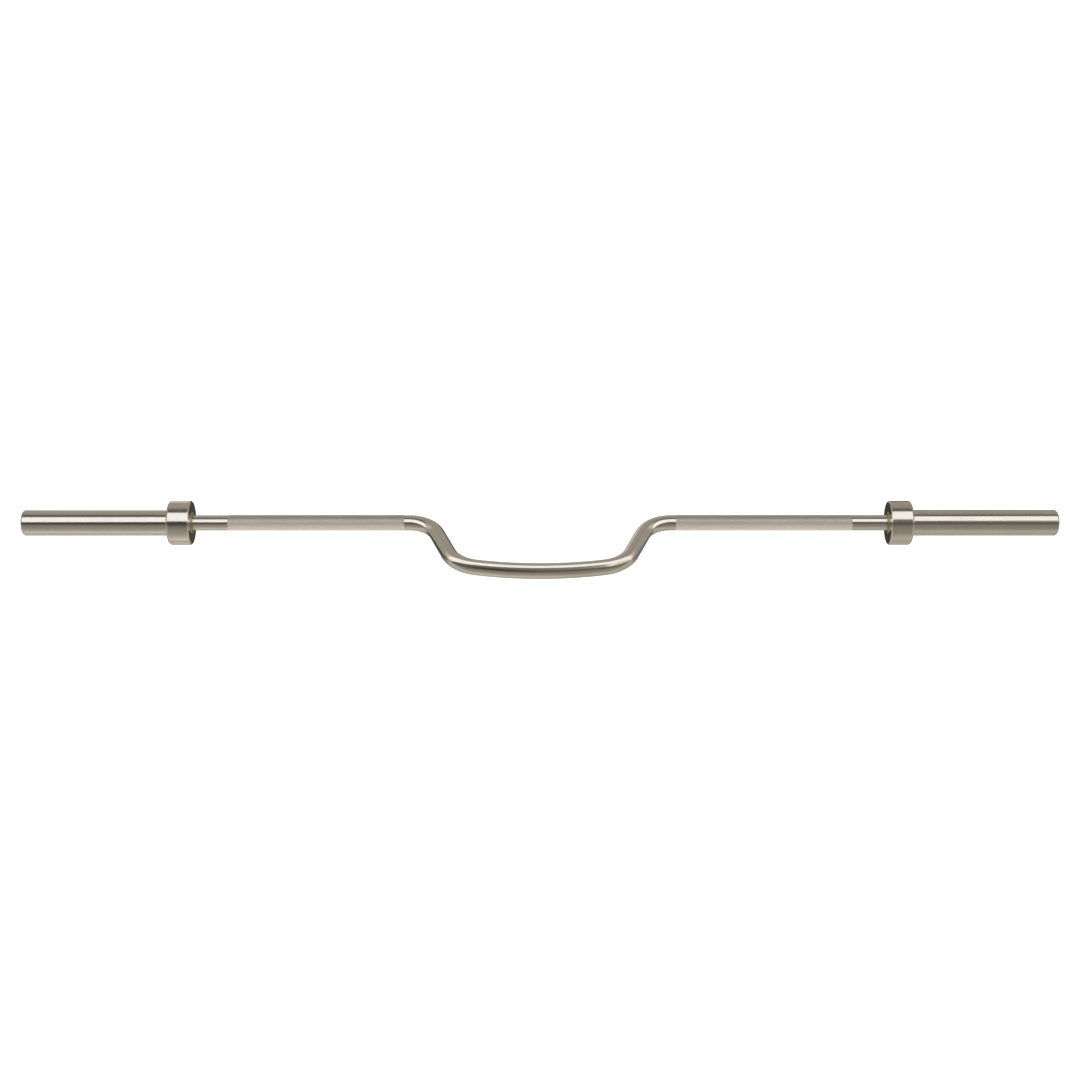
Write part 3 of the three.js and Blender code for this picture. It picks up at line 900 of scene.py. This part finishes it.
class ROWBAR_OT_retaining_rings(BuildPiece):
    """Build the circlips on the shaft's tips and in the sleeves' mouths"""

    bl_idname = "row_bar.retaining_rings"
    bl_label = "Retaining rings"

    shaft_ring_width = 3.2 * MM
    cap_ring_width = 3.4 * MM
    ear_radius = 2.3 * MM
    ear_hole = 0.9 * MM
    gap_half_angle = math.radians(13)

    def execute(self, context):
        places = Places(context.scene)
        inner = places.journal - SHAFT_GROOVE_DEPTH + SEAT_GAP
        outer = context.scene.row_bar_sleeves.cap_seat / 2 + CAP_GROOVE_DEPTH - SEAT_GAP
        rings = {
            "shaft_retaining_ring":
                (places.shaft_ring, SHAFT_RING_THICKNESS, inner, inner + self.shaft_ring_width, True),
            "end_cap_retaining_ring":
                (places.cap_ring, CAP_RING_THICKNESS, outer - self.cap_ring_width, outer, False),
        }
        for side in SIDES:
            for kind, (start, thickness, bore, rim, on_shaft) in rings.items():
                node = f"{side}_{kind}"
                piece = self.circlip(node + "_smooth", start, thickness, bore, rim, on_shaft)
                body = "shaft" if on_shaft else side + "_sleeve"
                fit(piece, side, node, body, spring_steel())
        return {"FINISHED"}

    def circlip(self, name, start, thickness, bore, rim, ears_out):
        """An open ring with an eared gap: a flat outline with its holes, drawn out and bevelled."""
        ease = 0.12 * MM
        seat = rim if ears_out else bore
        gap = self.gap_half_angle
        inset = 2 * math.asin(self.ear_radius / (2 * seat))

        def arc(centre, radius, begin, end, steps):
            return [(centre[0] + radius * math.cos(begin + (end - begin) * step / steps),
                     centre[1] + radius * math.sin(begin + (end - begin) * step / steps))
                    for step in range(steps + 1)]

        ear = (seat * math.cos(gap), seat * math.sin(gap))
        # The half outline above the gap: along the plain edge, round the ear, along the eared edge
        if ears_out:
            plain = arc((0, 0), bore, math.pi, gap, 48)
            first = gap + math.pi
            last = gap + math.pi / 2 + inset / 2
            lug = arc(ear, self.ear_radius, first, last + 2 * math.pi, 28)
            eared = arc((0, 0), rim, gap + inset, math.pi, 48)
        else:
            plain = arc((0, 0), rim, math.pi, gap, 48)
            first = gap
            last = gap + math.pi / 2 + inset / 2 - 2 * math.pi
            lug = arc(ear, self.ear_radius, first, last, 28)
            eared = arc((0, 0), bore, gap + inset, math.pi, 48)
        half = plain + lug + eared[1:]
        outline = half + [(x, -y) for x, y in reversed(half[1:-1])]
        holes = [[(x, sign * y) for x, y in arc(ear, self.ear_hole, 0, 2 * math.pi, 20)[:-1]]
                 for sign in (1, -1)]
        curve = bpy.data.curves.new(name, "CURVE")
        curve.dimensions = "2D"
        curve.fill_mode = "BOTH"
        curve.extrude = thickness / 2 - ease
        curve.bevel_depth = ease
        curve.bevel_resolution = 1
        curve.offset = -ease
        for loop in (outline, *holes):
            spline = curve.splines.new("POLY")
            spline.points.add(len(loop) - 1)
            for point, (x, y) in zip(spline.points, loop):
                point.co = (x, y, 0, 1)
            spline.use_cyclic_u = True
        drawn = bpy.data.objects.new(name + "_outline", curve)
        bpy.context.scene.collection.objects.link(drawn)
        bpy.context.view_layer.update()
        evaluated = drawn.evaluated_get(bpy.context.evaluated_depsgraph_get())
        data = bpy.data.meshes.new_from_object(evaluated)
        bpy.data.objects.remove(drawn)
        bpy.data.curves.remove(curve)
        mesh = bmesh.new()
        mesh.from_mesh(data)
        bpy.data.meshes.remove(data)
        bmesh.ops.remove_doubles(mesh, verts=mesh.verts, dist=0.002 * MM)
        across = Matrix.Rotation(math.pi / 2, 4, "Y")
        across.translation.x = start + thickness / 2
        bmesh.ops.transform(mesh, matrix=across, verts=mesh.verts)
        return finished(name, mesh)


class ROWBAR_OT_end_caps(BuildPiece):
    """Build the end caps and their seal rings"""

    bl_idname = "row_bar.end_caps"
    bl_label = "End caps"

    def execute(self, context):
        sleeve = context.scene.row_bar_sleeves
        places = Places(context.scene)
        rim = sleeve.cap_seat / 2 - SEAT_GAP
        middle = (places.cap_front + places.cap_back) / 2
        section = 2 * MM
        groove, half_groove = rim - section, section / 2 + SEAT_GAP
        chamfer, dish, dish_depth = 0.8 * MM, 12 * MM, 1 * MM
        fine = 0.2 * MM
        cap = rounded([
            (places.cap_back, 0, 0),
            (places.cap_back, rim - chamfer, fine),
            (places.cap_back + chamfer, rim, fine),
            (middle - half_groove, rim, fine),
            (middle - half_groove, groove, fine),
            (middle + half_groove, groove, fine),
            (middle + half_groove, rim, fine),
            (places.cap_front - chamfer, rim, fine),
            (places.cap_front, rim - chamfer, fine),
            (places.cap_front, dish, 0.3 * MM),
            (places.cap_front - dish_depth, dish - dish_depth, 0.3 * MM),
            (places.cap_front - dish_depth, 0, 0),
        ], closed=False)
        seal_radius = section / 2 - SEAT_GAP / 2
        seal_centre = rim - section / 2
        seal = [(middle + seal_radius * math.cos(turn), seal_centre + seal_radius * math.sin(turn), 0)
                for turn in (2 * math.pi * step / 16 for step in range(16))]
        turned_pair("end_cap", cap, 96, False, satin_steel(), closed=False)
        turned_pair("end_cap_seal", seal, 96, False, seal_rubber())
        return {"FINISHED"}


# Studio


class ROWBAR_OT_studio(BuildPiece):
    """Set up the plain floor, the soft lights and the camera"""

    bl_idname = "row_bar.studio"
    bl_label = "Studio"

    def execute(self, context):
        studio = context.scene.row_bar_studio
        context.scene.view_settings.view_transform = "Standard"
        self.floor(studio)
        self.soft_light(studio)
        self.surroundings(context.scene)
        self.camera(context.scene, studio)
        return {"FINISHED"}

    @staticmethod
    def sheet(name, corners, material):
        data = bpy.data.meshes.new(name)
        data.from_pydata(corners, [], [(0, 1, 2, 3)])
        data.materials.append(material)
        sheet = bpy.data.objects.new(name, data)
        bpy.context.scene.collection.objects.link(sheet)
        return sheet

    def floor(self, studio):
        """The metal is lit by the surroundings from below too, so it doesn't mirror the floor."""
        material, tree, shader = new_material(
            "Studio floor", Roughness=0.9, Specular_IOR_Level=0.1,
            Emission_Color=(1, 1, 1), Emission_Strength=1.12)
        grain = add(tree, "TexNoise", Scale=3.0, Detail=4.0).outputs[0]
        tone = blend(tree, grain, toned(studio.floor, 0.995), toned(studio.floor, 1.005))
        feed(tree, shader, Base_Color=tone)
        far = 40
        sheet = self.sheet(
            "studio_floor", [(-far, -far, 0), (far, -far, 0), (far, far, 0), (-far, far, 0)],
            material)
        sheet.visible_glossy = False

    def soft_light(self, studio):
        """A long soft light close above the bar, which only the metal sees."""
        material = new_material("Soft light", "Emission", Color=(0.91, 0.93, 0.97),
                                Strength=studio.panel_strength)[0]
        half, low = studio.panel_length / 2, studio.panel_height
        front, back, high = -studio.panel_front, studio.panel_back, low + studio.panel_tilt
        sheet = self.sheet("soft_light", [
            (-half, front - studio.front_taper, low), (-half, back - studio.back_taper, high),
            (half, back + studio.back_taper, high), (half, front + studio.front_taper, low)],
            material)
        sheet.visible_camera = False
        sheet.visible_diffuse = False
        sheet.visible_shadow = False
        sheet.visible_transmission = False

    # What the metal mirrors by the angle round the bar, in degrees: 0 is level towards the camera,
    # 90 straight up, 180 level behind and -90 straight down. Then how bright the room is there, where
    # white is 1, in directions that lean from far left to far right, as far as leans says. All of it
    # is tinted a little warm.
    warm = (1, 0.965, 0.87)
    leans = (-0.75, -0.45, -0.24, 0, 0.24, 0.45, 0.75)
    surround = (
        (-180, 0.12, 0.17, 0.95, 0.40, 0.03, 0.26, 0.18),
        (-170, 0.09, 0.14, 0.10, 0.10, 0.04, 0.26, 0.20),
        (-160, 0.09, 0.14, 0.05, 0.05, 0.06, 0.26, 0.20),
        (-142, 0.12, 0.14, 0.06, 0.07, 0.07, 0.26, 0.24),
        (-130, 0.36, 0.36, 0.36, 0.34, 0.36, 0.36, 0.36),
        (-112, 0.60, 0.60, 0.76, 0.54, 0.60, 0.58, 0.58),
        (-92, 0.50, 0.50, 0.48, 0.50, 0.45, 0.48, 0.48),
        (-75, 0.70, 0.70, 0.84, 0.72, 0.54, 0.60, 0.60),
        (-52, 0.55, 0.55, 0.52, 0.59, 0.52, 0.55, 0.55),
        (-32, 0.39, 0.39, 0.39, 0.40, 0.33, 0.36, 0.36),
        (-14, 0.32, 0.32, 0.32, 0.32, 0.295, 0.32, 0.32),
        (2, 0.235, 0.235, 0.235, 0.245, 0.275, 0.26, 0.26),
        (11, 0.15, 0.15, 0.10, 0.15, 0.19, 0.16, 0.16),
        (20, 0.11, 0.11, 0.02, 0.11, 0.11, 0.11, 0.11),
        (30, 0.11, 0.11, 0.03, 0.12, 0.16, 0.25, 0.25),
        (42, 0.14, 0.16, 0.14, 0.19, 0.26, 1.15, 0.80),
        (70, 0.30, 0.18, 0.24, 0.24, 0.36, 1.15, 0.80),
        (82, 0.47, 0.14, 0.10, 0.17, 0.17, 0.72, 0.76),
        (99, 0.70, 0.15, 0.18, 0.15, 0.10, 0.12, 0.70),
        (110, 0.70, 0.38, 0.41, 0.37, 0.34, 0.36, 0.70),
        (130, 0.45, 0.38, 0.40, 0.39, 0.37, 0.36, 0.45),
        (150, 0.37, 0.37, 0.38, 0.42, 0.40, 0.37, 0.37),
        (165, 0.37, 0.37, 0.80, 0.50, 0.34, 0.35, 0.35),
        (180, 0.12, 0.17, 0.95, 0.40, 0.03, 0.26, 0.18),
    )

    def surroundings(self, scene):
        """White for the camera, a dim fill for matt surfaces, a graded room for metal to mirror."""
        world = bpy.data.worlds.new("Studio room")
        scene.world = world
        world.use_nodes = True
        tree = world.node_tree
        tree.nodes.clear()
        direction = add(tree, "TexCoord").outputs["Generated"]
        x, y, z = add(tree, "SeparateXYZ", Vector=direction).outputs
        turn = maths(tree, "ARCTAN2", z, maths(tree, "MULTIPLY", y, -1))
        place = ramp(tree, turn, -math.pi, math.pi)
        grades = []
        for column in range(1, len(self.leans) + 1):
            grade = add(tree, "ValToRGB", Fac=place)
            stops = grade.color_ramp.elements
            while len(stops) > 1:
                stops.remove(stops[-1])
            for index, row in enumerate(self.surround):
                position = (row[0] + 180) / 360
                stop = stops[0] if index == 0 else stops.new(position)
                stop.position = position
                stop.color = (*(row[column] * channel for channel in self.warm), 1)
            grades.append(grade.outputs[0])
        tone = grades[0]
        for low, high, grade in zip(self.leans, self.leans[1:], grades[1:]):
            tone = blend(tree, ramp(tree, x, low, high), tone, grade)
        white = (1, 1, 1)
        room = add(tree, "Background", Color=tone, Strength=1.0).outputs[0]
        fill = add(tree, "Background", Color=white, Strength=0.12).outputs[0]
        surface = add(tree, "Background", Color=white, Strength=1.0).outputs[0]
        rays = add(tree, "LightPath").outputs
        for kind, light in (("Is Diffuse Ray", fill), ("Is Glossy Ray", room)):
            mix = add(tree, "MixShader")
            put_in_order(tree, mix, rays[kind], surface, light)
            surface = mix.outputs[0]
        add(tree, "OutputWorld", Surface=surface)

    def camera(self, scene, studio):
        data = bpy.data.cameras.new("Camera")
        data.lens = studio.lens
        data.sensor_width = 36
        data.clip_end = 100
        camera = bpy.data.objects.new("Camera", data)
        scene.collection.objects.link(camera)
        down = studio.elevation
        ahead = Vector((0, math.cos(down), -math.sin(down)))
        up = Vector((0, math.sin(down), math.cos(down)))
        camera.location = AXIS - up * studio.framing - ahead * studio.distance
        camera.rotation_mode = "QUATERNION"
        camera.rotation_quaternion = ahead.to_track_quat("-Z", "Y")
        scene.camera = camera


# Panel and registration

PIECES = (
    ROWBAR_OT_shaft,
    ROWBAR_OT_grips,
    ROWBAR_OT_sleeve_tubes,
    ROWBAR_OT_collars,
    ROWBAR_OT_bushings,
    ROWBAR_OT_washers,
    ROWBAR_OT_retaining_rings,
    ROWBAR_OT_end_caps,
    ROWBAR_OT_studio,
)

GROUPS = {
    "row_bar_shaft": RowBarShaftSizes,
    "row_bar_sleeves": RowBarSleeveSizes,
    "row_bar_finishes": RowBarFinishes,
    "row_bar_studio": RowBarStudio,
}


class ROWBAR_PT_panel(bpy.types.Panel):
    """Lists the bar's sizes, finishes and build steps"""

    bl_idname = "ROWBAR_PT_panel"
    bl_label = "Row Bar"
    bl_space_type = "VIEW_3D"
    bl_region_type = "UI"
    bl_category = "Row Bar"

    def draw(self, context):
        for operator in PIECES:
            self.layout.operator(operator.bl_idname)
        for group in GROUPS:
            box = self.layout.box()
            settings = getattr(context.scene, group)
            for key in settings.__annotations__:
                box.prop(settings, key)


def register():
    for group in GROUPS.values():
        bpy.utils.register_class(group)
    for operator in PIECES:
        bpy.utils.register_class(operator)
    bpy.utils.register_class(ROWBAR_PT_panel)
    for name, group in GROUPS.items():
        setattr(bpy.types.Scene, name, PointerProperty(type=group))


def unregister():
    for name in GROUPS:
        delattr(bpy.types.Scene, name)
    bpy.utils.unregister_class(ROWBAR_PT_panel)
    for operator in reversed(PIECES):
        bpy.utils.unregister_class(operator)
    for group in reversed(GROUPS.values()):
        bpy.utils.unregister_class(group)


def main():
    register()
    bpy.ops.row_bar.shaft()
    bpy.ops.row_bar.grips()
    bpy.ops.row_bar.sleeve_tubes()
    bpy.ops.row_bar.collars()
    bpy.ops.row_bar.bushings()
    bpy.ops.row_bar.washers()
    bpy.ops.row_bar.retaining_rings()
    bpy.ops.row_bar.end_caps()
    bpy.ops.row_bar.studio()


if __name__ == "__main__":
    main()
